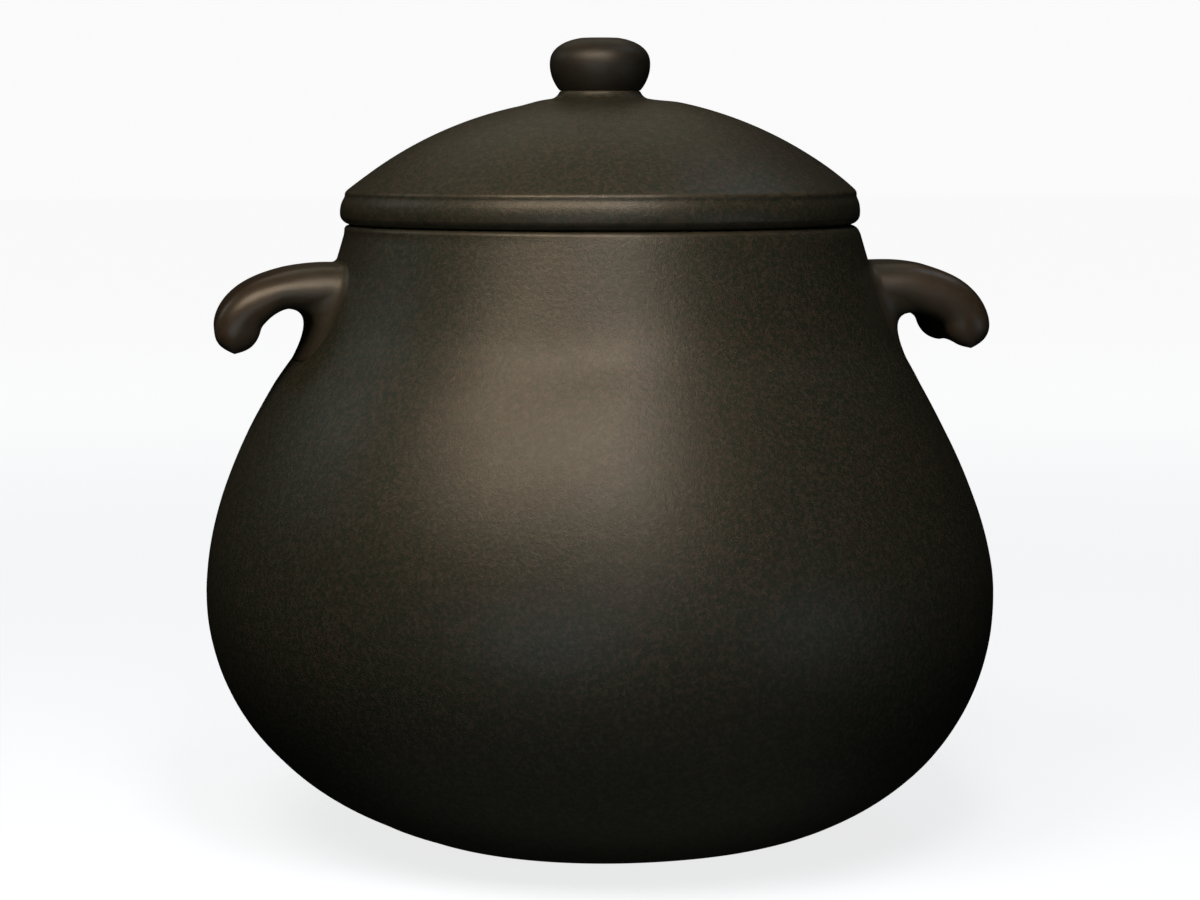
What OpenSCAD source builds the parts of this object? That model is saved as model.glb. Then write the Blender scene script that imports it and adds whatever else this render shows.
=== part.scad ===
// Chinese sand pot: a round-bellied clay stew pot with two curled strap handles,
// a glazed inside, and a domed lid that lifts off by its knob.
// Millimetres, +Z up, origin at the centre of the ring that the pot stands on,
// X along the two handles.

/* [Pot] */
// Height of the pot from the table to its lip
pot_h = 225.8; // [216:0.2:234]
// Outside radius of the belly at its widest
belly_r = 145; // [138:0.5:152]
// Height of the widest ring of the belly
belly_z = 90.5; // [84:0.5:98]
// Outside radius where the shoulder turns into the neck
shoulder_r = 118; // [114:0.5:122]
// Height where the shoulder turns into the neck
shoulder_z = 169; // [162:0.5:176]
// Lean of the shoulder, as radius lost for each unit of height
shoulder_lean = 0.59; // [0.5:0.01:0.66]
// Outside radius of the neck just under its rounded lip
mouth_r = 94.1; // [90:0.1:99]
// Lean of the neck at the lip, as radius lost for each unit of height
mouth_lean = 0.3; // [0.2:0.01:0.4]
// Rounding of the lip's outer edge
lip_round = 2.6; // [1.5:0.1:3.2]
// Rounding of the lip's inner edge
lip_round_in = 1.6; // [1:0.1:2.2]
// Thickness of the clay wall
wall_t = 8; // [6.5:0.5:10]
// Outside radius of the ring that the pot stands on
foot_r = 46; // [42:0.5:52]
// Width of that ring
foot_ring_w = 8; // [6:0.5:12]
// Depth of the recess inside the ring
foot_recess = 2; // [1:0.25:3]
// Thickness of the glaze inside the pot
glaze_t = 0.6; // [0.4:0.1:1]
// Bare clay left between the lid's locating ring and the top edge of the glaze
glaze_margin = 4; // [2:0.5:8]

/* [Handles] */
// Width of the handle strap, across the pot
handle_w = 60; // [48:1:70]
// Thickness of the handle strap
handle_t = 15.8; // [13:0.2:18]
// Rounding of the strap's long edges
handle_edge = 5; // [3:0.25:6]
// Drop from the lip to the middle of the strap
handle_drop = 22; // [18:0.2:26]
// Straight run of the strap from the wall to its bend
handle_run = 7.8; // [4:0.2:12]
// Radius of the strap's first, slow bend, to the middle of the strap
bow_r = 38; // [30:1:46]
// How far the strap turns down in its slow bend
bow_angle = 28; // [16:1:36]
// Radius of the curl at the strap's end, to the middle of the strap
curl_r = 13.1; // [11:0.1:17]
// How far the strap has turned down at its end
curl_end = 85; // [75:1:92]
// Slip joint between the root and the wall that it is pressed on to
slip_t = 0.15; // [0.12:0.01:0.3]
// How far the clay worked under the strap's root runs down the wall
root_drop = 15; // [9:0.5:16]
// How far that clay runs out along the underside of the strap
root_out = 9.5; // [5:0.5:10]
// Spread of the root at its two sides
root_side = 4; // [2:0.5:6]
// Spread of the root above the strap
root_rise = 2; // [1:0.25:4]

/* [Lid] */
// How far the lid's rim stands out past the neck
lid_overhang = 1.1; // [0.4:0.1:3]
// Height of the rolled band round the lid's rim
band_h = 9.3; // [8.5:0.1:12]
// Rounding under the rolled band
band_round = 4; // [2.5:0.25:5]
// How far the top of the band leans in from its widest ring
band_lean = 1; // [0.5:0.1:1.5]
// Width of the incised line above the band
line_w = 2.1; // [1.5:0.1:3]
// Depth of the incised line
line_depth = 0.8; // [0.4:0.1:1]
// Rise of the dome above the incised line
dome_rise = 35.2; // [28:0.2:44]
// Thickness of the dome
dome_t = 7.5; // [6:0.25:9]
// Gap between the lid's seat and the pot's lip
seat_gap = 0.3; // [0.2:0.05:0.5]
// Radial gap between the locating ring and the mouth
ring_gap = 2; // [1.5:0.1:3]
// Thickness of the locating ring
ring_t = 5.5; // [4:0.25:7]
// Depth of the locating ring below the seat
ring_h = 9; // [6:0.5:13]
// Rounding of the locating ring's free edges
ring_round = 2; // [1:0.25:2]
// Hollow fillet inside the lid, where the dome meets the rim
hollow_round = 8; // [5:0.5:12]

/* [Knob] */
// Radius of the knob at its widest
knob_r = 18.4; // [15:0.1:22]
// Radius of the neck that the knob sits on
knob_neck_r = 14.6; // [11:0.1:14.9]
// Height of the knob above its widest ring
knob_crown_h = 9.65; // [8:0.05:12]
// Height from the knob's neck to its widest ring
knob_under_h = 9.5; // [7:0.1:12]
// Radius of the flat on top of the knob
knob_flat_r = 6.9; // [4:0.1:10]
// Height of the neck above the top of the dome
neck_h = 1.8; // [1.2:0.1:3]
// Radius of the flare from the neck out to the dome
neck_flare = 4; // [3:0.25:6]

/* [Hidden] */

clay_colour = "#3b342a";
handle_colour = "#42392f";
glaze_colour = "#2a1f17";
$fn = 96;
curve_steps = 20;
arc_steps = 8;
dome_steps = 16;
band_steps = 4;
edge_steps = 4;
flat_steps = 6;
tip_steps = 5;
tip_turn = 80;
strap_steps = 14;
root_steps = 5;
back_steps = 8;

// Points of a cubic curve after its first point, from four control points
function curve(a, b, c, d) = [
    for (i = [1 : curve_steps])
        let (t = i / curve_steps, s = 1 - t)
        s * s * s * a + 3 * s * s * t * b + 3 * s * t * t * c + t * t * t * d
];

// Points of an arc round a centre, from one angle to another, both ends included
function arc(centre, r, from, to, steps = arc_steps) = [
    for (i = [0 : steps])
        let (a = from + (to - from) * i / steps)
        centre + r * [cos(a), sin(a)]
];

// Unit normal of an outline at one of its points, on the right of its direction
function normal(points, i) =
    let (
        before = points[max(i - 1, 0)],
        after = points[min(i + 1, len(points) - 1)],
        along = (after - before) / norm(after - before)
    )
    [along[1], -along[0]];

// The same outline moved inwards, along its normals
function inset(points, depth) = [
    for (i = [0 : len(points) - 1]) points[i] - depth * normal(points, i)
];

// Outside of the pot
// A fullness is how far a control point lies on the way to the next ring, in radius or in
// height. The belly's two curves meet with the same roundness, which sets belly_lift.
base_fullness = 0.52;
belly_fullness = 0.586;
shoulder_fullness = 0.82;
neck_fullness = 0.273;
mouth_fullness = 0.765;
base_lift = 1;
mouth_tilt = atan(mouth_lean);
mouth_normal = [cos(mouth_tilt), sin(mouth_tilt)];
lip_start = [mouth_r, pot_h - lip_round * (1 - sin(mouth_tilt))];
base_reach = foot_r + base_fullness * (belly_r - foot_r);
belly_pull = belly_fullness * belly_z;
shoulder_spread = shoulder_fullness * (belly_r - shoulder_r);
shoulder_in = [shoulder_r + shoulder_spread, shoulder_z - shoulder_spread / shoulder_lean];
belly_lift = belly_pull * sqrt((belly_r - shoulder_in[0]) / (belly_r - base_reach));
neck_run = lip_start[1] - shoulder_z;
neck_pull = neck_fullness * neck_run;
mouth_pull = mouth_fullness * neck_run;
outside = concat(
    [[foot_r, 0]],
    curve(
        [foot_r, 0],
        [base_reach, base_lift],
        [belly_r, belly_z - belly_pull],
        [belly_r, belly_z]
    ),
    curve(
        [belly_r, belly_z],
        [belly_r, belly_z + belly_lift],
        shoulder_in,
        [shoulder_r, shoulder_z]
    ),
    curve(
        [shoulder_r, shoulder_z],
        [shoulder_r - neck_pull * shoulder_lean, shoulder_z + neck_pull],
        lip_start + mouth_pull * [mouth_lean, -1],
        lip_start
    )
);
inside = inset(outside, wall_t);

// Radius of an outline at a height, and of the pot's outside
function radius_at(points, z) = lookup(z, [for (p = points) [p[1], p[0]]]);
function wall_r(z) = radius_at(outside, z);

// The lip: its outer and inner roundings, and the narrowest part of the mouth
lip_centre = lip_start - lip_round * mouth_normal;
lip_in_z = pot_h - lip_round_in * (1 + sin(mouth_tilt));
lip_in_start = inside[len(inside) - 1];
lip_in_end = [lip_in_start[0] - mouth_lean * (lip_in_z - lip_in_start[1]), lip_in_z];
lip_in_centre = lip_in_end + lip_round_in * mouth_normal;
mouth_in_r = lip_in_centre[0] - lip_round_in;

// The lid's seat and rings
seat_z = pot_h + seat_gap;
ring_r = mouth_in_r - ring_gap;
ring_in_r = ring_r - ring_t;
lid_r = mouth_r + lid_overhang;

// The glaze, which stops below the locating ring
glaze_in = inset(outside, wall_t + glaze_t);
glaze_top = seat_z - ring_h - glaze_margin;
function below(points, z) = concat(
    [for (p = points) if (p[1] < z) p],
    [[radius_at(points, z), z]]
);
function reversed(points) = [for (i = [len(points) - 1 : -1 : 0]) points[i]];

// The dome is part of a sphere, hollowed by a second sphere about the same centre
dome_base_z = seat_z + band_h + line_w;
dome_base_r = lid_r - band_lean;
dome_top_z = dome_base_z + dome_rise;
dome_r = (dome_base_r * dome_base_r + dome_rise * dome_rise) / (2 * dome_rise);
dome_centre_z = dome_top_z - dome_r;
hollow_r = dome_r - dome_t;

// The flare from the dome up to the knob's neck
neck_z = dome_top_z + neck_h;
flare_r = knob_neck_r + neck_flare;
flare_z = dome_centre_z + sqrt(pow(dome_r + neck_flare, 2) - flare_r * flare_r);
flare_foot = atan2(flare_z - dome_centre_z, flare_r);
flare_top = asin((flare_z - neck_z) / neck_flare);
neck_top_r = flare_r - neck_flare * cos(flare_top);

// The strap's middle line, seen from the front: a straight run, a slow bow and a curl
handle_z = pot_h - handle_drop;
handle_x = wall_r(handle_z);
bow_centre = [handle_x + handle_run, handle_z - bow_r];
curl_centre = bow_centre + (bow_r - curl_r) * [sin(bow_angle), cos(bow_angle)];
bow_length = bow_r * bow_angle * PI / 180;
curl_length = curl_r * (curl_end - bow_angle) * PI / 180;
strap_length = handle_run + bow_length + curl_length;

// Place on the middle line at a distance from the wall: its x and z and its turn from level
function on_bend(centre, r, turn) = [centre[0] + r * sin(turn), centre[1] + r * cos(turn), turn];
function strap_middle(s) =
    s < handle_run
        ? [handle_x + s, handle_z, 0]
        : s < handle_run + bow_length
            ? on_bend(bow_centre, bow_r, (s - handle_run) * 180 / PI / bow_r)
            : on_bend(
                curl_centre,
                curl_r,
                bow_angle + (s - handle_run - bow_length) * 180 / PI / curl_r
            );

// Marks round the strap's section: side, top or bottom, and the angle on a rounded edge
section_marks = concat(
    [for (k = [0 : edge_steps]) [1, 1, 90 * k / edge_steps]],
    [for (j = [1 : flat_steps - 1]) [1 - 2 * j / flat_steps, 1, 90]],
    [for (k = [0 : edge_steps]) [-1, 1, 90 + 90 * k / edge_steps]],
    [for (k = [0 : edge_steps]) [-1, -1, 180 + 90 * k / edge_steps]],
    [for (j = [1 : flat_steps - 1]) [2 * j / flat_steps - 1, -1, 270]],
    [for (k = [0 : edge_steps]) [1, -1, 270 + 90 * k / edge_steps]]
);

// A mark's place in a section of given half width and half thickness
function in_section(mark, half_w, half_t) =
    let (e = min(handle_edge, half_t))
    [
        mark[0] * (half_w - e) + e * cos(mark[2]),
        mark[1] * (half_t - e) + e * sin(mark[2])
    ];

// A place in the section carried to a place on the middle line
function placed(at, spot) = [
    at[0] + spot[1] * sin(at[2]),
    spot[0],
    at[1] + spot[1] * cos(at[2])
];

// The pot's outside, behind the slip joint, at a place seen from the handle's side
function on_wall(y, z) = [sqrt(pow(wall_r(z), 2) - y * y) + slip_t, y, z];

// Corner between the strap and the wall, and how far the worked root spreads from it
function root_corner(mark) =
    let (spot = in_section(mark, handle_w / 2, handle_t / 2))
    on_wall(spot[0], handle_z + spot[1]);
function root_edge(mark) =
    let (
        spot = in_section(mark, handle_w / 2, handle_t / 2),
        up = sin(mark[2]) * (mark[1] > 0 ? root_rise : root_drop)
    )
    on_wall(spot[0] + root_side * cos(mark[2]), handle_z + spot[1] + up);
function root_start(mark) =
    root_corner(mark)[0] - handle_x
    + norm([root_side * cos(mark[2]), sin(mark[2]) * (mark[1] > 0 ? root_rise : root_out)]);

module pot_body() {
    foot_in_r = foot_r - foot_ring_w;
    color(clay_colour)
        rotate_extrude()
            polygon(concat(
                [[0, foot_recess], [foot_in_r - foot_recess, foot_recess], [foot_in_r, 0]],
                outside,
                arc(lip_centre, lip_round, mouth_tilt, 90),
                arc(lip_in_centre, lip_round_in, 90, 180 + mouth_tilt),
                reversed(inside),
                [[0, wall_t]]
            ));
}

module glaze_lining() {
    color(glaze_colour)
        rotate_extrude()
            polygon(concat(
                [[0, wall_t]],
                below(inside, glaze_top),
                reversed(below(glaze_in, glaze_top)),
                [[0, wall_t + glaze_t]]
            ));
}

// One handle, on the +X side: rings of points from the round end of the strap to its root,
// then on over the wall to close the back of the root
module handle() {
    tip = strap_middle(strap_length);
    tip_rings = [
        for (k = [tip_steps : -1 : 1])
            let (
                a = tip_turn * k / tip_steps,
                out = handle_t / 2 * sin(a),
                at = [tip[0] + out * cos(tip[2]), tip[1] - out * sin(tip[2]), tip[2]]
            )
            [for (m = section_marks)
                placed(at, in_section(
                    m,
                    handle_w / 2 - handle_edge * (1 - cos(a)),
                    handle_t / 2 * cos(a)
                ))]
    ];
    strap_rings = [
        for (k = [strap_steps : -1 : 0])
            [for (m = section_marks)
                let (
                    from = root_start(m),
                    at = strap_middle(from + (strap_length - from) * k / strap_steps)
                )
                placed(at, in_section(m, handle_w / 2, handle_t / 2))]
    ];
    root_rings = [
        for (k = [1 : root_steps])
            let (t = k / root_steps)
            [for (m = section_marks)
                let (
                    at = strap_middle(root_start(m)),
                    start = placed(at, in_section(m, handle_w / 2, handle_t / 2))
                )
                (1 - t) * (1 - t) * start + 2 * (1 - t) * t * root_corner(m) + t * t * root_edge(m)]
    ];
    back_rings = [
        for (k = [1 : back_steps - 1])
            let (t = 1 - k / back_steps)
            [for (m = section_marks)
                let (edge = root_edge(m))
                on_wall(edge[1] * t, handle_z + (edge[2] - handle_z) * t)]
    ];
    rings = concat(tip_rings, strap_rings, root_rings, back_rings);
    count = len(section_marks);
    last = len(rings) - 1;
    tip_out = handle_t / 2;
    tip_point = [tip[0] + tip_out * cos(tip[2]), 0, tip[1] - tip_out * sin(tip[2])];
    polyhedron(
        points = concat([tip_point], [for (r = rings) each r], [on_wall(0, handle_z)]),
        faces = concat(
            [for (i = [0 : count - 1]) [0, 1 + (i + 1) % count, 1 + i]],
            [for (r = [0 : last - 1], i = [0 : count - 1], half = [0, 1])
                let (
                    a = 1 + r * count + i,
                    b = 1 + r * count + (i + 1) % count
                )
                half == 0 ? [a, b, a + count] : [b, b + count, a + count]],
            [for (i = [0 : count - 1])
                [1 + last * count + i, 1 + last * count + (i + 1) % count, 1 + (last + 1) * count]]
        )
    );
}

module left_handle() {
    color(handle_colour)
        mirror([1, 0, 0])
            handle();
}

module right_handle() {
    color(handle_colour)
        handle();
}

module lid_shell() {
    band_rise = band_h - band_round;
    band_r = (band_rise * band_rise + band_lean * band_lean) / (2 * band_lean);
    band_centre = [lid_r - band_r, seat_z + band_round];
    band_turn = asin(band_rise / band_r);
    line_r = (line_w * line_w / 4 + line_depth * line_depth) / (2 * line_depth);
    line_centre = [dome_base_r - line_depth + line_r, dome_base_z - line_w / 2];
    line_turn = asin(line_w / 2 / line_r);
    line_step = 2 * line_turn / arc_steps;
    dome_centre = [0, dome_centre_z];
    round_centre = [
        ring_in_r - hollow_round,
        dome_centre_z + sqrt(pow(hollow_r - hollow_round, 2) - pow(ring_in_r - hollow_round, 2))
    ];
    round_turn = atan2(round_centre[1] - dome_centre_z, round_centre[0]);
    hollow_step = (90 - round_turn) / dome_steps;
    dome_start = atan2(dome_base_z - dome_centre_z, dome_base_r);
    color(clay_colour)
        rotate_extrude()
            polygon(concat(
                [[ring_in_r, seat_z]],
                arc([lid_r - band_round, seat_z + band_round], band_round, -90, 0),
                arc(band_centre, band_r, band_turn / band_steps, band_turn, band_steps - 1),
                arc(
                    line_centre,
                    line_r,
                    180 + line_turn - line_step,
                    180 - line_turn + line_step,
                    arc_steps - 2
                ),
                arc(dome_centre, dome_r, dome_start, flare_foot, dome_steps),
                arc([flare_r, flare_z], neck_flare, 180 + flare_foot, 180 + flare_top),
                [[0, neck_z], [0, dome_centre_z + hollow_r]],
                arc(dome_centre, hollow_r, 90 - hollow_step, round_turn, dome_steps - 1),
                arc(round_centre, hollow_round, round_turn, 0)
            ));
}

module lid_ring() {
    low_z = seat_z - ring_h + ring_round;
    color(clay_colour)
        rotate_extrude()
            polygon(concat(
                [[ring_in_r, seat_z]],
                arc([ring_in_r + ring_round, low_z], ring_round, 180, 270),
                arc([ring_r - ring_round, low_z], ring_round, 270, 360),
                [[ring_r, seat_z]]
            ));
}

module knob() {
    wide_z = neck_z + knob_under_h;
    under_turn = acos(neck_top_r / knob_r);
    under_b = knob_under_h / sin(under_turn);
    crown_power = 2.4;
    crown_end = acos(pow(knob_flat_r / knob_r, crown_power / 2));
    crown_b = knob_crown_h / pow(sin(crown_end), 2 / crown_power);
    color(handle_colour)
        rotate_extrude()
            polygon(concat(
                [[0, neck_z]],
                [for (i = [0 : arc_steps])
                    let (a = under_turn * (i / arc_steps - 1))
                    [knob_r * cos(a), wide_z + under_b * sin(a)]],
                [for (i = [1 : 2 * arc_steps])
                    let (a = crown_end * i / (2 * arc_steps))
                    [
                        knob_r * pow(cos(a), 2 / crown_power),
                        wide_z + crown_b * pow(sin(a), 2 / crown_power)
                    ]],
                [[0, wide_z + knob_crown_h]]
            ));
}

pot_body();
glaze_lining();
left_handle();
right_handle();
lid_shell();
lid_ring();
knob();
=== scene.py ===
import math

import bmesh
import bpy
import numpy as np
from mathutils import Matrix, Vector


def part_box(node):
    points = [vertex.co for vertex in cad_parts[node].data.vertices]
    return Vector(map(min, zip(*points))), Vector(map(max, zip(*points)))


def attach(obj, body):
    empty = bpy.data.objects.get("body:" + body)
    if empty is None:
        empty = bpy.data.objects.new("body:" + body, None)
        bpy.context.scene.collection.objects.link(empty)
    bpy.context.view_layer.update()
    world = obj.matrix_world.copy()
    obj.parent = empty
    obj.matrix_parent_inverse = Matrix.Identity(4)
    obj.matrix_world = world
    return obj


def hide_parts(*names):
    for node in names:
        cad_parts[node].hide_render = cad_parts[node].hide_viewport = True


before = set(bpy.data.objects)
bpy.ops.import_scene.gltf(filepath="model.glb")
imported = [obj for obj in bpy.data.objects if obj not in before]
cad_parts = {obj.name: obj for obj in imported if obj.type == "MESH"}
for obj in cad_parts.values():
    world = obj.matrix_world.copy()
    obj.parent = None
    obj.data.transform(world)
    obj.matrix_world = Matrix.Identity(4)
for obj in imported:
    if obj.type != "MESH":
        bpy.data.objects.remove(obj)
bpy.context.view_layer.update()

# The photograph's view, from a little to the left of the pot and level with its lid. The sensor is
# in millimetres and the camera's places are in metres.
image_w = 1200
focal_px = 3170
sensor_w = 36
camera_reach = 1.166
camera_side = math.radians(-6.75)
camera_drop = math.radians(5.67)
camera_z = 0.2583


def make_camera():
    camera = bpy.data.objects.new("camera", bpy.data.cameras.new("camera"))
    camera.data.sensor_width = sensor_w
    camera.data.lens = focal_px * sensor_w / image_w
    camera.location = (
        camera_reach * math.sin(camera_side),
        -camera_reach * math.cos(camera_side),
        camera_z,
    )
    camera.rotation_euler = (math.pi / 2 - camera_drop, 0, camera_side)
    bpy.context.scene.collection.objects.link(camera)
    bpy.context.scene.camera = camera


make_camera()

# Sizes are written in millimetres and held in metres
mm = 0.001

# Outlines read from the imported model
same_place = 0.01 * mm
outline_step = 2.5 * mm
straight_turn = math.radians(0.3)
corner_turn = math.radians(24)
corner_steps = 6
corner_share = 0.4
turned_segments = 192
full_wear_r = 1.5 * mm

# Hand-made unevenness: how many waves go round a piece, and their radians for each metre along it
waves_round = (1, 6)
waves_along = (10, 60)

# The pot. Its wall is evened out, and then left a little uneven, from above its foot to below its
# lip. Its lean fades out in the last of the wall under the lip.
foot_round = 0.7 * mm
foot_z = 1 * mm
wall_even_z = 8 * mm
wall_even_below_lip = 5 * mm
wall_rough_z = 12 * mm
wall_rough_below_lip = 14 * mm
lip_fade_h = 3 * mm
wall_unevenness = 0.12 * mm
recess_mark = 0.12 * mm
recess_pitch = 2.6 * mm
spread_passes = 14

# Shallow strokes that a hand leaves in the wall: the angle round the pot, in degrees, and the
# height of each one's middle, its rise, in degrees, and its depth
strokes = (
    (-108, 173 * mm, 24, 1.1 * mm),
    (-40, 120 * mm, -12, 0.2 * mm),
    (35, 150 * mm, 18, 0.25 * mm),
    (100, 110 * mm, 10, 0.25 * mm),
    (160, 140 * mm, -20, 0.2 * mm),
)
stroke_half_w = 17 * mm
stroke_half_l = 48 * mm

# How far the hand-thrown wall leans to the right of a true round at each height, both in
# millimetres, as the photograph shows it: its neck and its lower belly to the right and its
# shoulder to the left
lean_heights = (2, 5, 10, 18, 32, 46, 62, 84, 100, 128, 152, 168, 178, 188, 204, 222)
lean_amounts = (0, 1.2, 1.7, 1.7, 1.6, 1.0, 0.5, 0, -0.1, -0.9, -1.15, -0.9, -0.2, 0.4, 0.75, 0.8)

# The glaze inside it
glaze_t = 0.6 * mm
glaze_bead = 0.3 * mm
glaze_bead_w = 1.6 * mm
glaze_edge_round = 1.2 * mm
glaze_dip = 2.6 * mm
glaze_sunk = 0.1 * mm
glaze_rings = 150
glaze_worn_w = 6 * mm
throw_pitch = 7.5 * mm
throw_depth = 0.2 * mm
throw_fade = 12 * mm

# The lid, its locating ring and its knob. A pair of radii is where a change begins and where it
# is complete, and the lid's heights are above its seat.
lid_round = 0.9 * mm
lid_soft_low = 2.5 * mm
lid_soft_high = 20 * mm
lid_soft_step = 0.33 * mm
lid_unevenness = 0.08 * mm
dome_lean = 0.65 * mm
dome_low = 3 * mm
dome_high = 20 * mm
dome_r = (20 * mm, 30 * mm)
lid_hollow_z = 2 * mm
lid_ridges_in = (3 * mm, 15 * mm)
lid_ridges_out = (60 * mm, 72 * mm)
ring_round = 0.4 * mm
knob_round = 0.5 * mm
knob_unevenness = 0.05 * mm
knob_low_fade = 4 * mm
knob_top_fade = 3 * mm

# The handles, each a strap that leaves the wall level, bends down slowly and then curls. Places
# along it are distances from the wall. Its widest line lies between -1, its underside, and 1, its
# top, and its swelling ends at a share of its length, past its tip.
strap_w = 60 * mm
strap_z = 203.8 * mm
strap_top = 7.9 * mm
strap_root_t = 15 * mm
strap_curl_t = 17.2 * mm
strap_edge_top = 10 * mm
strap_edge_low = 5 * mm
strap_widest = -0.22
strap_crown = 0.5 * mm
strap_unevenness = 0.18 * mm
strap_edge_wear = 0.6
waist_run = (3 * mm, 18 * mm)
swell_from = 14 * mm
swell_end_share = 1.05
bow_low_at = 16 * mm
curl_from = 24 * mm
strap_step = 0.1 * mm
strap_run = 7.8 * mm
bow_r = 38 * mm
bow_turn = math.radians(28)
curl_r = 13.1 * mm
curl_turn = math.radians(85)
bend_ease = 5 * mm
tip_droop = 1.9 * mm
tip_edge = 5.5 * mm
tip_reach = 14 * mm
tip_blend = 24 * mm
root_drop = 20 * mm
root_side = 4 * mm
root_rise = 2 * mm
root_sunk = 0.15 * mm
root_back = 2 * mm
edge_steps = 8
flat_steps = 14
strap_steps = 56
root_steps = 14
tip_steps = 20
tip_worn_steps = 34
tip_passes = 50


def ease(value, start, end):
    """0 before start, 1 after end and a smooth rise between."""
    t = np.clip((value - start) / (end - start), 0, 1)
    return t * t * (3 - 2 * t)


def waves(seed, count):
    """Smooth hand-made unevenness over an angle and a distance, from 0 to 1."""
    random = np.random.default_rng(seed)
    parts = [
        (random.integers(*waves_round), random.uniform(*waves_along), random.uniform(0, 2 * math.pi))
        for _ in range(count)
    ]

    def unevenness(angle, distance):
        total = sum(np.sin(n * angle + k * distance + shift) for n, k, shift in parts)
        return 0.5 + 0.5 * total / count

    return unevenness


pot_waves = waves(3, 5)
lid_waves = waves(11, 4)
knob_waves = waves(17, 4)
glaze_waves = waves(23, 6)


def spiral(distance, angle, pitch):
    """Height of the ridges that a finger or a tool leaves in turning clay, from 0 to 1."""
    return 0.5 + 0.5 * np.cos(2 * math.pi * distance / pitch - angle)


def turned_outline(name):
    """Outline of a turned CAD node as (radius, height) points, with the clay on their left."""
    # Corners of the mesh that share a radius and a height are one point of the outline
    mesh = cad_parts[name].data
    places = np.array([(math.hypot(v.co.x, v.co.y), v.co.z) for v in mesh.vertices])
    rounded, found = np.unique(np.round(places / same_place), axis=0, return_inverse=True)
    near = np.abs(rounded[:, None] - rounded[None]).max(axis=2) <= 1
    ring_of = near.argmax(axis=1)[found.ravel()]
    links = {}
    for edge in mesh.edges:
        a, b = (int(ring_of[i]) for i in edge.vertices)
        if a != b:
            links.setdefault(a, set()).add(b)
            links.setdefault(b, set()).add(a)
    # A solid turned on its axis has an open outline, and a ring has a closed one
    ends = sorted(k for k in links if len(links[k]) == 1)
    highest = max(links, key=lambda k: rounded[k][1])
    chain = [ends[0] if ends else highest]
    while links[chain[-1]] - set(chain):
        chain.append(min(links[chain[-1]] - set(chain)))
    points = [places[ring_of == k].mean(axis=0) for k in chain]
    if ends:
        points = [p for p in points if p[0] > same_place]
        points = [(0, points[0][1]), *points, (0, points[-1][1])]
    else:
        points.append(points[0])
    points = np.array(points)
    x, y = points.T
    clockwise = np.sum(x[:-1] * y[1:] - x[1:] * y[:-1]) < 0
    return points[::-1] if clockwise else points


def turns_of(points):
    """How far an outline turns at each of its inner points, with left turns counted up."""
    legs = np.diff(points, axis=0)
    heading = np.arctan2(legs[:, 1], legs[:, 0])
    return (np.diff(heading) + math.pi) % (2 * math.pi) - math.pi


def lengths_along(points):
    """How far along the run each of its points lies."""
    legs = np.linalg.norm(np.diff(points, axis=0), axis=1)
    return np.concatenate([[0], np.cumsum(legs)])


def smooth_run(points):
    """Smooth curve through the points from one corner to the next."""
    p = np.vstack([2 * points[0] - points[1], points, 2 * points[-1] - points[-2]])
    curve = []
    for before, start, end, after in zip(p, p[1:], p[2:], p[3:]):
        a, b, c = (
            math.sqrt(np.linalg.norm(leg))
            for leg in (start - before, end - start, after - end)
        )
        leave = b * ((start - before) / a - (end - before) / (a + b)) + end - start
        arrive = end - start + b * ((after - end) / c - (after - start) / (b + c))
        count = max(2, math.ceil(np.linalg.norm(end - start) / outline_step))
        for t in np.arange(1, count + 1) / count:
            curve.append(
                (2 * t**3 - 3 * t**2 + 1) * start
                + (t**3 - 2 * t**2 + t) * leave
                + (3 * t**2 - 2 * t**3) * end
                + (t**3 - t**2) * arrive
            )
    return curve


def bent_at(points, least_turn):
    """Places of the outline's two ends and of each point that turns by more than a least turn."""
    turning = np.flatnonzero(np.abs(turns_of(points)) > least_turn) + 1
    return [0, *turning, len(points) - 1]


def smooth_outline(name, rounding):
    """The CAD node's outline with its facets smoothed and its corners softened."""
    points = turned_outline(name)
    lowest, highest = points.min(axis=0), points.max(axis=0)
    points = points[bent_at(points, straight_turn)]
    corners = bent_at(points, corner_turn)
    curve = [points[0]]
    marks = [0]
    for start, end in zip(corners, corners[1:]):
        curve += smooth_run(points[start:end + 1])
        marks.append(len(curve) - 1)
    curve = np.clip(curve, lowest, highest)
    along = lengths_along(curve)
    places = along[marks]
    cuts = [
        (here, min(rounding, corner_share * (here - last), corner_share * (following - here)))
        for last, here, following in zip(places, places[1:], places[2:])
    ]

    def at(distance):
        return np.array([np.interp(distance, along, curve[:, k]) for k in (0, 1)])

    spots = [(s, p) for s, p in zip(along, curve) if all(abs(s - c) >= d for c, d in cuts)]
    for c, d in cuts:
        for t in (np.arange(corner_steps) + 0.5) / corner_steps:
            place = (1 - t) ** 2 * at(c - d) + 2 * t * (1 - t) * at(c) + t**2 * at(c + d)
            spots.append((c + (2 * t - 1) * d, place))
    return np.array([p for _, p in sorted(spots, key=lambda spot: spot[0])])


def outward(points):
    """Unit normals of an outline, on its right and so away from the clay."""
    slope = np.gradient(points, axis=0)
    slope /= np.linalg.norm(slope, axis=1)[:, None]
    return np.column_stack([slope[:, 1], -slope[:, 0]])


def wear_of(points):
    """How much each point of an outline stands out as a rounded edge, from 0 to 1."""
    legs = np.linalg.norm(np.diff(points, axis=0), axis=1)
    bend = np.zeros(len(points))
    bend[1:-1] = 2 * turns_of(points) / (legs[:-1] + legs[1:])
    soft_bend = np.convolve(np.pad(bend, 1, mode="edge"), [0.25, 0.5, 0.25], mode="valid")
    return np.clip(soft_bend * full_wear_r, 0, 1)


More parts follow.
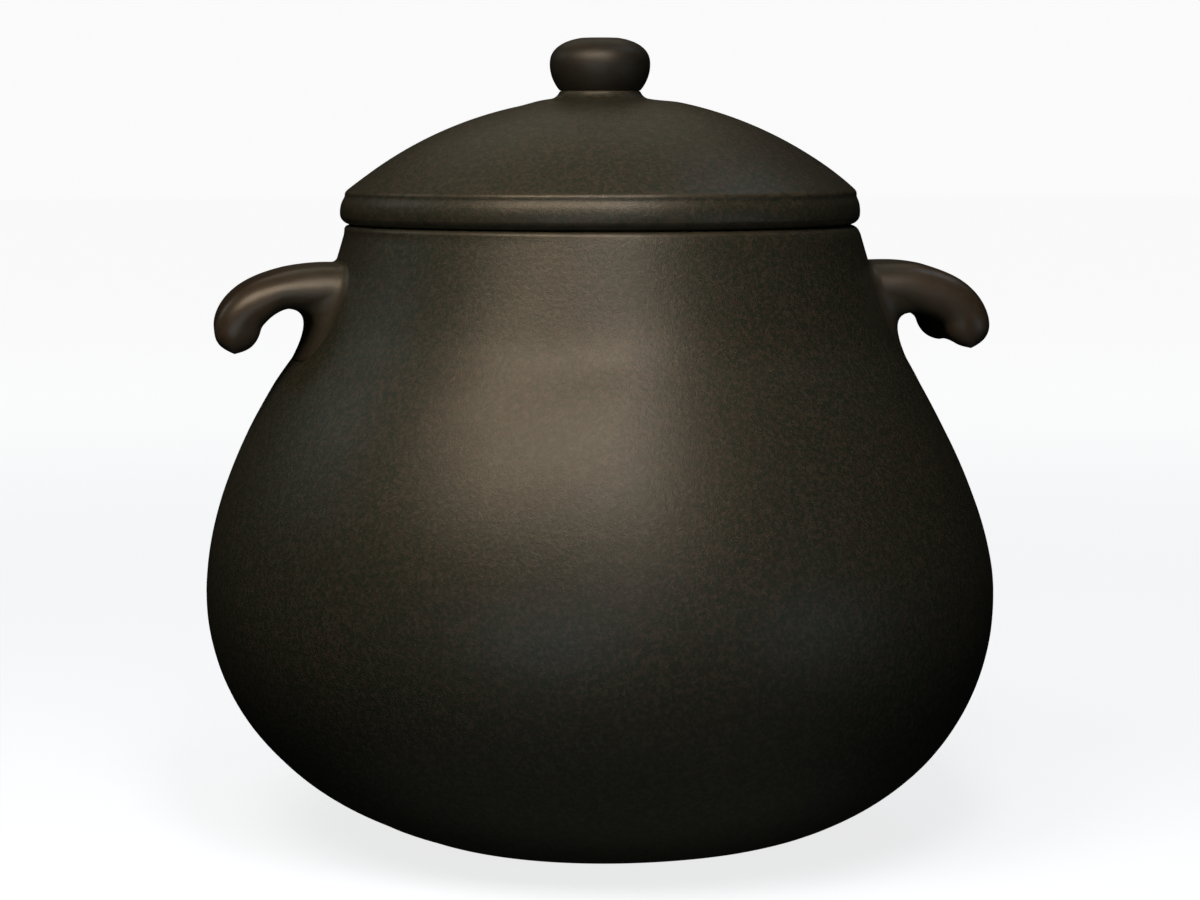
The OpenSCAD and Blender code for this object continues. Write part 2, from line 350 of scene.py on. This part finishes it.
def mesh_piece(name, points, faces, wear):
    """A smooth-shaded mesh object that keeps the wear of its points."""
    mesh = bpy.data.meshes.new(name)
    mesh.from_pydata(points, [], faces)
    worn = mesh.attributes.new("wear", "FLOAT", "POINT")
    worn.data.foreach_set("value", np.asarray(wear, np.float32))
    tidy = bmesh.new()
    tidy.from_mesh(mesh)
    bmesh.ops.remove_doubles(tidy, verts=tidy.verts, dist=same_place / 10)
    bmesh.ops.recalc_face_normals(tidy, faces=tidy.faces)
    tidy.to_mesh(mesh)
    tidy.free()
    mesh.shade_smooth()
    piece = bpy.data.objects.new(name, mesh)
    bpy.context.scene.collection.objects.link(piece)
    return piece


def dress(piece, node, body, finish):
    """Puts a finished piece in the place of its CAD node."""
    piece.data.materials.append(finish)
    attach(piece, body)
    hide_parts(node)
    return piece


around = np.arange(turned_segments) * 2 * math.pi / turned_segments


def lathe(name, radius, height, wear):
    """A closed skin from rings, given as arrays of radius and height for each ring and angle.
    It closes to a point at both ends, or on itself where its last ring is its first."""
    rings = np.stack([radius * np.cos(around), radius * np.sin(around), height], axis=2)
    count = len(rings)
    faces = []
    for j in range(turned_segments):
        k = (j + 1) % turned_segments
        for i in range(count - 1):
            a, b = i * turned_segments, (i + 1) * turned_segments
            faces.append((a + j, a + k, b + k, b + j))
    return mesh_piece(name, rings.reshape(-1, 3).tolist(), faces, np.repeat(wear, turned_segments))


def turned(name, outline, relief):
    """A solid of revolution, with its surface raised along its normals by the relief."""
    out, up = outward(outline).T[:, :, None]
    radius, height = outline.T[:, :, None]
    relief = relief * (radius > same_place)
    return lathe(name, radius + out * relief, height + up * relief, wear_of(outline))


def spread(run, passes=spread_passes):
    """A run of points averaged with their neighbours, with its ends kept."""
    for _ in range(passes):
        run = np.vstack([run[:1], (run[:-2] + 2 * run[1:-1] + run[2:]) / 4, run[-1:]])
    return run


def evened(run):
    """A run of an outline with its bends evened out, and no smaller for it."""
    soft = spread(spread(run))
    return soft + spread(spread(run - soft))


def softened(outline, start, end, step):
    """The outline with its run from start to end put in even steps and worn soft."""
    run = outline[start:end]
    along = lengths_along(run)
    even = np.linspace(0, along[-1], math.ceil(along[-1] / step))
    run = np.column_stack([np.interp(even, along, run[:, k]) for k in (0, 1)])
    return np.vstack([outline[:start], spread(run), outline[end:]])


pot_outline = smooth_outline("pot_body", foot_round)
pot_lip = int(pot_outline[:, 1].argmax())
lip_z = pot_outline[pot_lip, 1]
wall_start, wall_end = (
    int(np.abs(pot_outline[:pot_lip, 1] - height).argmin())
    for height in (wall_even_z, lip_z - wall_even_below_lip)
)
pot_outline[wall_start:wall_end] = evened(pot_outline[wall_start:wall_end])
belly_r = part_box("pot_body")[1].y
pot_outline[:, 0] = np.minimum(pot_outline[:, 0], belly_r)


def wall_sink(angle, height):
    """How far the hand-made outside of the pot lies inside its true round."""
    fade_z = lip_z - lip_fade_h
    fading = ease(height, foot_z, wall_rough_z)
    fading = fading * (1 - ease(height, lip_z - wall_rough_below_lip, fade_z))
    lean = np.interp(height / mm, lean_heights, lean_amounts) * mm
    lean = lean * (1 - ease(height, fade_z, lip_z))
    sink = wall_unevenness * pot_waves(angle, height) * fading - lean * np.cos(angle)
    for middle, middle_z, rise, depth in strokes:
        aside = (angle - math.radians(middle) + math.pi) % (2 * math.pi) - math.pi
        aside = aside * belly_r
        above = height - middle_z
        level, steep = math.cos(math.radians(rise)), math.sin(math.radians(rise))
        along = aside * level + above * steep
        across = above * level - aside * steep
        sink = sink + depth * np.exp(-((along / stroke_half_l) ** 2) - (across / stroke_half_w) ** 2)
    return sink


def wall_radius(angle, height):
    """Radius of the pot's outside at an angle and a height."""
    outside = pot_outline[1:pot_lip + 1]
    return np.interp(height, outside[:, 1], outside[:, 0]) - wall_sink(angle, height)


def make_pot(finish):
    """The thrown wall, with turning marks under its foot."""
    radius, height = pot_outline.T[:, :, None]
    place = np.arange(len(pot_outline))[:, None]
    foot = int(pot_outline[:pot_lip, 1].argmin())
    recess = (place < foot) & (height > foot_z)
    marks = recess_mark * spiral(radius, around, recess_pitch) * recess
    sink = wall_sink(around, height) * ((place > foot) & (place <= pot_lip))
    return dress(turned("thrown_pot", pot_outline, marks - sink), "pot_body", "pot", finish)


def make_glaze(finish):
    """The skin of glaze, which follows the inside of the pot up to a wavering edge."""
    inside = pot_outline[pot_lip:][::-1]
    normals = outward(pot_outline)[pot_lip:][::-1]
    along = lengths_along(inside)
    highest = float(np.interp(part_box("glaze_lining")[1].z, inside[:, 1], along))
    edge = highest - glaze_dip * glaze_waves(around, 0)
    share = np.sin(np.linspace(0, math.pi / 2, glaze_rings))[:, None]
    distance = edge * share
    to_edge = edge - distance
    bead = glaze_bead * np.exp(-(((to_edge - 2 * glaze_bead_w) / glaze_bead_w) ** 2))
    ridges = throw_depth * (spiral(distance, around, throw_pitch) - 0.5)
    ridges = ridges * ease(to_edge, 0, throw_fade) * ease(distance, 0, throw_fade)
    thickness = glaze_t + bead + ridges
    edge_share = 1 - np.clip(to_edge / glaze_edge_round, 0, 1)
    thickness = thickness * np.sqrt(1 - edge_share**2)
    distance = np.vstack([distance, distance[::-1]])
    depth = np.vstack([thickness, np.full_like(thickness, -glaze_sunk)])
    out, up = (np.interp(distance, along, normals[:, k]) for k in (0, 1))
    radius, height = (np.interp(distance, along, inside[:, k]) for k in (0, 1))
    wear = np.concatenate([1 - ease(to_edge.min(axis=1), 0, glaze_worn_w), np.zeros(glaze_rings)])
    skin = lathe("glaze_skin", np.abs(radius + out * depth), height + up * depth, wear)
    return dress(skin, "glaze_lining", "pot", finish)


def make_lid(finish):
    """The dome, which leans a little, with its rim worn soft and throwing ridges inside."""
    outline = smooth_outline("lid_shell", lid_round)
    seat = int(outline[:, 1].argmin())
    start, end = (
        seat + int(np.searchsorted(outline[seat:, 1], outline[seat, 1] + rise))
        for rise in (lid_soft_low, lid_soft_high)
    )
    outline = softened(outline, start, end, lid_soft_step)
    radius, height = outline.T[:, :, None]
    place = np.arange(len(outline))[:, None]
    seat = int(outline[:, 1].argmin())
    seat_z = outline[seat, 1]
    hollow = (place < seat) & (height > seat_z + lid_hollow_z)
    ridges = throw_depth * (spiral(radius, around, throw_pitch) - 0.5)
    ridges = ridges * hollow * ease(radius, *lid_ridges_in) * (1 - ease(radius, *lid_ridges_out))
    on_top = ease(height, seat_z + dome_low, seat_z + dome_high)
    on_top = on_top * (place > seat) * ease(radius, *dome_r)
    sink = (lid_unevenness * lid_waves(around, radius) - dome_lean * np.cos(around)) * on_top
    return dress(turned("lid_dome", outline, ridges - sink), "lid_shell", "lid", finish)


def make_lid_ring(finish):
    """The ring under the lid, turned true so that it fits the mouth."""
    outline = smooth_outline("lid_ring", ring_round)
    return dress(turned("locating_ring", outline, 0 * around), "lid_ring", "lid", finish)


def make_knob(finish):
    """The turned button on the lid, a little uneven round its side."""
    outline = smooth_outline("knob", knob_round)
    height = outline[:, 1, None]
    low, high = outline[:, 1].min(), outline[:, 1].max()
    side = ease(height, low, low + knob_low_fade) * (1 - ease(height, high - knob_top_fade, high))
    sink = knob_unevenness * knob_waves(around, height) * side
    return dress(turned("turned_knob", outline, -sink), "knob", "lid", finish)


def strap_marks():
    """Marks round a strap's section: towards which side and face, and the angle on its edge."""
    quarter = np.arange(edge_steps + 1) / edge_steps * 90
    flat = 1 - 2 * np.arange(1, flat_steps) / flat_steps
    marks = [(1, 1, a) for a in quarter]
    marks += [(side, 1, 90) for side in flat]
    marks += [(-1, 1, 90 + a) for a in quarter]
    marks += [(-1, -1, 180 + a) for a in quarter]
    marks += [(-side, -1, 270) for side in flat]
    marks += [(1, -1, 270 + a) for a in quarter]
    side, face, angle = np.array(marks, float).T
    return side, face, np.radians(angle)


def strap_line():
    """Middle line of a strap: its length, and then its turn down, its way out and its way up at
    each distance from the wall."""
    bow_end = strap_run + bow_r * bow_turn
    length = bow_end + curl_r * (curl_turn - bow_turn)
    distance = np.arange(-strap_top, length + 2 * strap_top, strap_step)
    bend = ease(distance, strap_run - bend_ease, strap_run + bend_ease) / bow_r
    bend += ease(distance, bow_end - bend_ease, bow_end + bend_ease) * (1 / curl_r - 1 / bow_r)
    turn = np.minimum(np.cumsum(bend) * strap_step, curl_turn)
    out = np.cumsum(np.cos(turn)) * strap_step - strap_top
    up = -np.cumsum(np.sin(turn)) * strap_step
    return length, distance, turn, out, up


def make_handle(
    name, node, facing, seed, finish, bow_lower, curl_swell, tip_longer, waist_t, root_out
):
    """One strap handle, built on the +X side and mirrored where it faces the other way. Each is
    bent by hand, so its bow, curl, tip, waist and root differ a little from the other's."""
    side, face, angle = strap_marks()
    length, distances, turns, ways_out, ways_up = strap_line()
    unevenness = waves(seed, 5)
    start_r = float(np.interp(strap_z, *pot_outline[1:pot_lip + 1, ::-1].T))

    def wall_place(across, up, depth):
        """Place on the pot's outside, or a depth behind it."""
        turn = np.arctan2(across, start_r)
        radius = wall_radius(turn if facing > 0 else math.pi - turn, up) - depth
        return np.stack([np.sqrt(radius**2 - across**2), across, up], axis=-1)

    def section(distance, narrow, thin):
        """Where each mark lies across the strap and above its middle line."""
        thinning = (waist_t - strap_root_t) * ease(distance, *waist_run)
        swelling = (strap_curl_t - waist_t) * ease(distance, swell_from, swell_end_share * length)
        half_t = (strap_root_t + thinning + swelling) / 2
        curled = ease(distance, curl_from, length)
        lowered = bow_lower * ease(distance, 0, bow_low_at) * (1 - curled)
        middle = strap_top - lowered + curl_swell * curled - half_t
        half_t = half_t * thin
        to_tip = ease(distance, length - tip_blend, length)
        widest = strap_widest * (1 - to_tip) * half_t
        edge = np.where(face > 0, strap_edge_top, strap_edge_low)
        edge = edge + to_tip * (tip_edge - edge)
        crown = strap_crown * thin * (1 - side**2)
        rough = strap_unevenness * (unevenness(angle, distance) - 0.5) * thin
        across = side * (strap_w / 2 - narrow - edge) + (edge + rough) * np.cos(angle)
        above = middle + widest + (half_t - face * widest + rough) * np.sin(angle) + face * crown
        return across, above

    def ring(distance, narrow=0.0, thin=1.0, beyond=0.0):
        """Points of one ring of the strap at its distances from the wall."""
        across, above = section(distance, narrow, thin)
        turn, out, up = (
            np.interp(distance, distances, line) for line in (turns, ways_out, ways_up)
        )
        near_tip = ease(distance, length - tip_reach, length)
        hollow = tip_droop * (1 - (across / (strap_w / 2)) ** 2)
        onward = beyond + near_tip * (tip_longer - hollow)
        return np.stack(
            [
                start_r + out + above * np.sin(turn) + onward * np.cos(turn),
                across,
                strap_z + up + above * np.cos(turn) - onward * np.sin(turn),
            ],
            axis=-1,
        )

    across, above = section(0 * side, 0.0, 1.0)
    corner = wall_place(across, strap_z + above, 0)
    rise = np.where(face > 0, root_rise, root_drop) * np.sin(angle)
    foot = wall_place(across + root_side * np.cos(angle), strap_z + above + rise, root_sunk)
    reach = np.where(face > 0, root_rise, root_out) * np.sin(angle)
    leave = corner[:, 0] - start_r + np.hypot(root_side * np.cos(angle), reach)

    # Rings from the tip back to the root, which spreads onto the wall and closes behind its face
    rings = []
    for k in range(tip_steps, 0, -1):
        a = math.pi / 2 * k / tip_steps
        narrow = tip_edge * (1 - math.cos(a))
        beyond = strap_curl_t / 2 * math.sin(a)
        rings.append(ring(length + 0 * side, narrow, math.cos(a), beyond))
    for k in range(strap_steps, -1, -1):
        rings.append(ring(leave + (length - leave) * k / strap_steps))
    # Each line along the top goes on round the tip into one along the underside, and the two are
    # worn soft as one run
    worn = tip_steps + tip_worn_steps
    tip = np.stack(rings[:worn])
    tip = spread(np.concatenate([tip[:0:-1, ::-1], tip]), tip_passes)
    rings[:worn] = tip[worn - 1:]
    start = rings[-1]
    for k in range(1, root_steps + 1):
        t = k / root_steps
        rings.append((1 - t) ** 2 * start + 2 * t * (1 - t) * corner + t**2 * foot)
    rings.append(wall_place(foot[:, 1], foot[:, 2], root_back))
    rings.append(wall_place(0 * side, strap_z + 0 * side, root_back))

    count = len(side)
    points = np.concatenate(rings)
    points[:, 0] *= facing
    faces = []
    for a in range(0, (len(rings) - 1) * count, count):
        b = a + count
        for i in range(count):
            k = (i + 1) % count
            faces.append((a + i, a + k, b + k, b + i))
    wear = np.tile(np.abs(np.sin(2 * angle)) * strap_edge_wear, len(rings))
    piece = mesh_piece(name, points.tolist(), faces, wear)
    return dress(piece, node, "pot", finish)


# Places on the smoothed clay, as the square of the distance sideways from the pot's axis, in
# square metres: the handles are told from the knob at 50 to 51 mm, and from 102 to 117 mm they
# turn from the wall's dullness to their own gloss
handles_begin = (0.0025, 0.0026)
handles_leave_wall = (0.0105, 0.0138)

# The floor: its half width, and how far from the pot its glow starts and ends its rise, in metres
floor_reach = 12
glow_rise = (0.2, 2.2)
glow_near = 0.8
glow_far = 0.95


class Wire:
    """A socket of a material, so that an expression on values adds the nodes that it needs."""

    def __init__(self, tree, socket=None):
        self.tree = tree
        self.socket = socket

    def node(self, kind, settings, values, output=0):
        """Adds a node: its settings first, then a value or a wire for each socket named."""
        made = self.tree.nodes.new(kind)
        for name, value in settings.items():
            setattr(made, name, value)
        for name, value in values.items():
            if isinstance(value, Wire):
                self.tree.links.new(value.socket, made.inputs[name])
            else:
                made.inputs[name].default_value = value
        return Wire(self.tree, made.outputs[output])

    def maths(self, operation, first, second):
        return self.node("ShaderNodeMath", {"operation": operation}, {0: first, 1: second})

    def __add__(self, other):
        return self.maths("ADD", self, other)

    def __radd__(self, other):
        return self.maths("ADD", other, self)

    def __sub__(self, other):
        return self.maths("SUBTRACT", self, other)

    def __rsub__(self, other):
        return self.maths("SUBTRACT", other, self)

    def __mul__(self, other):
        return self.maths("MULTIPLY", self, other)

    def __rmul__(self, other):
        return self.maths("MULTIPLY", other, self)

    def between(self, low, high):
        """0 below low, 1 above high and a smooth rise between."""
        return self.node(
            "ShaderNodeMapRange",
            {"interpolation_type": "SMOOTHSTEP"},
            {"Value": self, "From Min": low, "From Max": high},
        )

    def colours(self, first, second):
        """Mixes two colours, with this wire as the second one's share."""
        mix = {"data_type": "RGBA"}
        return self.node("ShaderNodeMix", mix, {0: self, 6: first, 7: second}, output=2)

    def stretched(self, x, y, z):
        """This place with its three directions stretched."""
        stretch = {"operation": "MULTIPLY"}
        return self.node("ShaderNodeVectorMath", stretch, {0: self, 1: (x, y, z)})

    def cloud(self, size, detail=3.0, roughness=0.5):
        """Soft noise over this place, with blotches of about a size, from 0 to 1."""
        values = {"Vector": self, "Scale": 1 / size, "Detail": detail, "Roughness": roughness}
        return self.node("ShaderNodeTexNoise", {}, values)

    def grains(self, size):
        """Distance from the middle of the nearest grain, in grains, and that grain's own shade."""
        values = {"Vector": self, "Scale": 1 / size}
        near = self.node("ShaderNodeTexVoronoi", {}, values)
        shade = self.node("ShaderNodeTexVoronoi", {}, values, output="Color")
        shade = self.node("ShaderNodeSeparateColor", {}, {"Color": shade})
        return near, shade


def colour(red, green, blue):
    """An opaque colour."""
    return (red, green, blue, 1)


def start_finish(name):
    """A new material, with the places on the piece and the wear of its edges."""
    finish = bpy.data.materials.new(name)
    finish.use_nodes = True
    tree = finish.node_tree
    wire = Wire(tree)
    place = wire.node("ShaderNodeTexCoord", {}, {}, output="Object")
    wear = wire.node("ShaderNodeAttribute", {"attribute_name": "wear"}, {}, output="Fac")
    return finish, tree.nodes["Principled BSDF"], place, wear


def end_finish(shader, tint, roughness, height):
    """Wires a colour, a roughness and a height in millimetres to the shader."""
    bump = height.node(
        "ShaderNodeBump", {}, {"Height": height, "Distance": mm, "Strength": 1.0}, output="Normal"
    )
    for name, wire in (("Base Color", tint), ("Roughness", roughness), ("Normal", bump)):
        wire.tree.links.new(wire.socket, shader.inputs[name])


def clay():
    """Satin black-brown clay with a fine sandy grain, olive and red-brown patches and turning lines."""
    finish, shader, place, wear = start_finish("clay")
    shader.inputs["Specular IOR Level"].default_value = 0.5
    patches = place.cloud(45 * mm, 4.0, 0.55).between(0.38, 0.64)
    mottle = place.cloud(2.8 * mm, 3.0, 0.6).between(0.4, 0.62)
    speckle = place.cloud(1.5 * mm, 3.0, 0.7).between(0.4, 0.6)
    tint = patches.colours(colour(0.034, 0.0315, 0.024), colour(0.0385, 0.0315, 0.023))
    tint = (mottle * 0.7).colours(tint, colour(0.022, 0.017, 0.012))
    tint = (speckle * 0.95).colours(tint, colour(0.0115, 0.0175, 0.0115))
    grain, shade = place.grains(0.55 * mm)
    sand = (1 - grain.between(0.15, 0.42)) * shade.between(0.8, 0.9)
    tint = (sand * 0.55).colours(tint, colour(0.085, 0.07, 0.048))
    lines = place.stretched(4, 4, 420).cloud(1.0, 2.0, 0.5)
    rubbed = wear * place.cloud(6 * mm).between(0.3, 0.6)
    tint = (rubbed * 0.55).colours(tint, colour(0.075, 0.062, 0.045))
    roughness = 0.4 + 0.04 * place.cloud(14 * mm) + 0.015 * mottle - 0.08 * rubbed
    fine = place.cloud(0.5 * mm, 2.0, 0.6)
    height = 0.08 * fine + 0.08 * place.cloud(1.7 * mm) + 0.02 * lines + 0.04 * sand
    end_finish(shader, tint, roughness, height)
    return finish


def smoothed_clay():
    """The same clay wiped smooth with wet fingers, glossier, with soft strokes along it. Where a
    handle meets the wall it is as dull as the wall."""
    finish, shader, place, wear = start_finish("smoothed_clay")
    shader.inputs["Specular IOR Level"].default_value = 0.5
    sideways = place.node("ShaderNodeSeparateXYZ", {}, {0: place}, output="X")
    from_axis = sideways.maths("MULTIPLY", sideways, sideways)
    beside = from_axis.between(*handles_begin)
    near_wall = beside - from_axis.between(*handles_leave_wall)
    patches = place.cloud(16 * mm, 4.0, 0.55).between(0.36, 0.64)
    tint = patches.colours(colour(0.026, 0.0225, 0.0165), colour(0.036, 0.025, 0.0175))
    mottle = place.cloud(2.2 * mm, 4.0, 0.6).between(0.42, 0.68)
    tint = (mottle * 0.6).colours(tint, colour(0.020, 0.018, 0.013))
    tint = near_wall.colours(tint, colour(0.026, 0.0235, 0.0165))
    tint = beside.colours(colour(0.0125, 0.0108, 0.008), tint)
    rubbed = wear * place.cloud(5 * mm).between(0.3, 0.6)
    tint = (rubbed * 0.3).colours(tint, colour(0.06, 0.05, 0.038))
    strokes = place.stretched(40, 260, 260).cloud(1.0, 2.0, 0.5)
    roughness = 0.42 - 0.13 * beside + 0.1 * place.cloud(9 * mm) + 0.05 * mottle + 0.08 * near_wall
    height = 0.022 * place.cloud(0.6 * mm, 2.0, 0.6) + 0.05 * place.cloud(3 * mm) + 0.03 * strokes
    end_finish(shader, tint, roughness, height)
    return finish


def bare_clay():
    """Matte fired clay with no glaze, where the lid drops into the pot."""
    finish, shader, place, wear = start_finish("bare_clay")
    shader.inputs["Specular IOR Level"].default_value = 0.3
    mottle = place.cloud(3 * mm, 4.0, 0.6).between(0.36, 0.66)
    tint = mottle.colours(colour(0.075, 0.058, 0.04), colour(0.05, 0.038, 0.026))
    grain, shade = place.grains(0.6 * mm)
    sand = (1 - grain.between(0.15, 0.4)) * shade.between(0.7, 0.85)
    tint = (sand * 0.5).colours(tint, colour(0.17, 0.14, 0.1))
    tint = (wear * 0.5).colours(tint, colour(0.11, 0.09, 0.065))
    roughness = 0.68 + 0.18 * place.cloud(8 * mm)
    height = 0.06 * place.cloud(0.6 * mm, 2.0, 0.6) + 0.05 * sand
    end_finish(shader, tint, roughness, height)
    return finish


def glaze():
    """Gloss dark brown glaze, paler where it thins at its edge, with a few pinholes."""
    finish, shader, place, wear = start_finish("glaze")
    shader.inputs["Specular IOR Level"].default_value = 0.55
    flow = place.stretched(40, 40, 16).cloud(1.0, 3.0, 0.5).between(0.3, 0.75)
    tint = flow.colours(colour(0.017, 0.0105, 0.008), colour(0.029, 0.016, 0.0105))
    breaking = wear * place.cloud(5 * mm).between(0.3, 0.6)
    tint = (breaking * 0.8).colours(tint, colour(0.12, 0.062, 0.03))
    bubble, shade = place.grains(3.2 * mm)
    pinhole = (1 - bubble.between(0.04, 0.09)) * shade.between(0.8, 0.9)
    tint = pinhole.colours(tint, colour(0.012, 0.008, 0.006))
    roughness = 0.1 + 0.12 * place.cloud(11 * mm)
    height = 0.12 * place.cloud(5 * mm, 2.0, 0.5) + 0.02 * place.cloud(1.2 * mm) - 0.08 * pinhole
    end_finish(shader, tint, roughness, height)
    return finish


def make_floor():
    """A pale studio floor that runs out of sight. It glows by itself, because a dark pot asks
    for little light, and its faint blue tint takes up the warmth of the lights."""
    mesh = bpy.data.meshes.new("floor")
    corners = [(x * floor_reach, y * floor_reach, 0) for x, y in ((-1, -1), (1, -1), (1, 1), (-1, 1))]
    mesh.from_pydata(corners, [], [(0, 1, 2, 3)])
    floor = bpy.data.objects.new("floor", mesh)
    bpy.context.scene.collection.objects.link(floor)
    finish, shader, place, _ = start_finish("floor")
    shader.inputs["Base Color"].default_value = colour(0.3, 0.38, 0.52)
    shader.inputs["Roughness"].default_value = 0.9
    shader.inputs["Specular IOR Level"].default_value = 0
    reached = place.node("ShaderNodeVectorMath", {"operation": "LENGTH"}, {0: place}, output="Value")
    near, far = (colour(shade, shade, shade) for shade in (glow_near, glow_far))
    glow = reached.between(*glow_rise).colours(near, far)
    glow.tree.links.new(glow.socket, shader.inputs["Emission Color"])
    shader.inputs["Emission Strength"].default_value = 1
    mesh.materials.append(finish)
    floor.visible_diffuse = False
    floor.visible_glossy = False
    floor.visible_shadow = False


def make_backdrop():
    """Pale air behind the pot, which the camera sees but which doesn't light the pot."""
    world = bpy.data.worlds.new("backdrop")
    world.use_nodes = True
    background = world.node_tree.nodes["Background"]
    background.inputs["Color"].default_value = colour(0.96, 0.96, 0.96)
    world.cycles_visibility.diffuse = False
    world.cycles_visibility.glossy = False
    bpy.context.scene.world = world
    bpy.context.scene.view_settings.view_transform = "Standard"


light_target = Vector((0, 0, 0.15))


def soft_light(name, side, rise, reach, width, height, power, tint):
    """A soft box that points at the pot from a side and a rise, in degrees."""
    lamp = bpy.data.lights.new(name, "AREA")
    lamp.shape = "RECTANGLE"
    lamp.size = width
    lamp.size_y = height
    lamp.energy = power
    lamp.color = tint
    box = bpy.data.objects.new(name, lamp)
    a, e = math.radians(side), math.radians(rise)
    back = Vector((math.sin(a) * math.cos(e), -math.cos(a) * math.cos(e), math.sin(e)))
    box.location = light_target + reach * back
    box.rotation_euler = back.to_track_quat("Z", "Y").to_euler()
    box.visible_camera = False
    bpy.context.scene.collection.objects.link(box)


def make_lights():
    """Each light's side and rise in degrees, its reach, width and height in metres, its power in
    watts and its tint."""
    soft_light("left_key", -38, 46, 0.9, 0.42, 0.4, 4.1, (1, 0.79, 0.56))
    soft_light("right_key", 1, 47, 0.9, 0.2, 0.46, 3.75, (1, 0.82, 0.64))
    soft_light("front_low", -20, -4, 1.8, 1.2, 0.6, 2.6, (0.85, 0.98, 1))
    soft_light("front_fill", 5, 17, 1.8, 0.5, 0.5, 1.2, (0.95, 1, 1))
    soft_light("right_low", 50, -4, 1.8, 0.8, 0.4, 1.1, (0.7, 0.88, 1))
    soft_light("left_rim", -110, 32, 1.8, 0.6, 0.6, 1.2, (0.8, 1, 1))
    soft_light("right_rim", 110, 58, 1.8, 0.6, 0.6, 1.4, (0.78, 0.92, 1))
    soft_light("back", 180, 50, 1.8, 1.2, 1.0, 1.8, (1, 0.9, 0.7))
    soft_light("floor_glow", 0, -75, 1.2, 2.0, 2.0, 0.9, (1, 1, 0.8))


clay_finish = clay()
smoothed_finish = smoothed_clay()
make_pot(clay_finish)
make_glaze(glaze())
make_handle(
    "strap_handle_left",
    "left_handle",
    facing=-1,
    seed=31,
    finish=smoothed_finish,
    bow_lower=1 * mm,
    curl_swell=0.9 * mm,
    tip_longer=0.3 * mm,
    waist_t=13 * mm,
    root_out=15.5 * mm,
)
make_handle(
    "strap_handle_right",
    "right_handle",
    facing=1,
    seed=47,
    finish=smoothed_finish,
    bow_lower=-0.3 * mm,
    curl_swell=0.4 * mm,
    tip_longer=0.2 * mm,
    waist_t=17.5 * mm,
    root_out=17 * mm,
)
make_lid(clay_finish)
make_lid_ring(bare_clay())
make_knob(smoothed_finish)
make_floor()
make_backdrop()
make_lights()
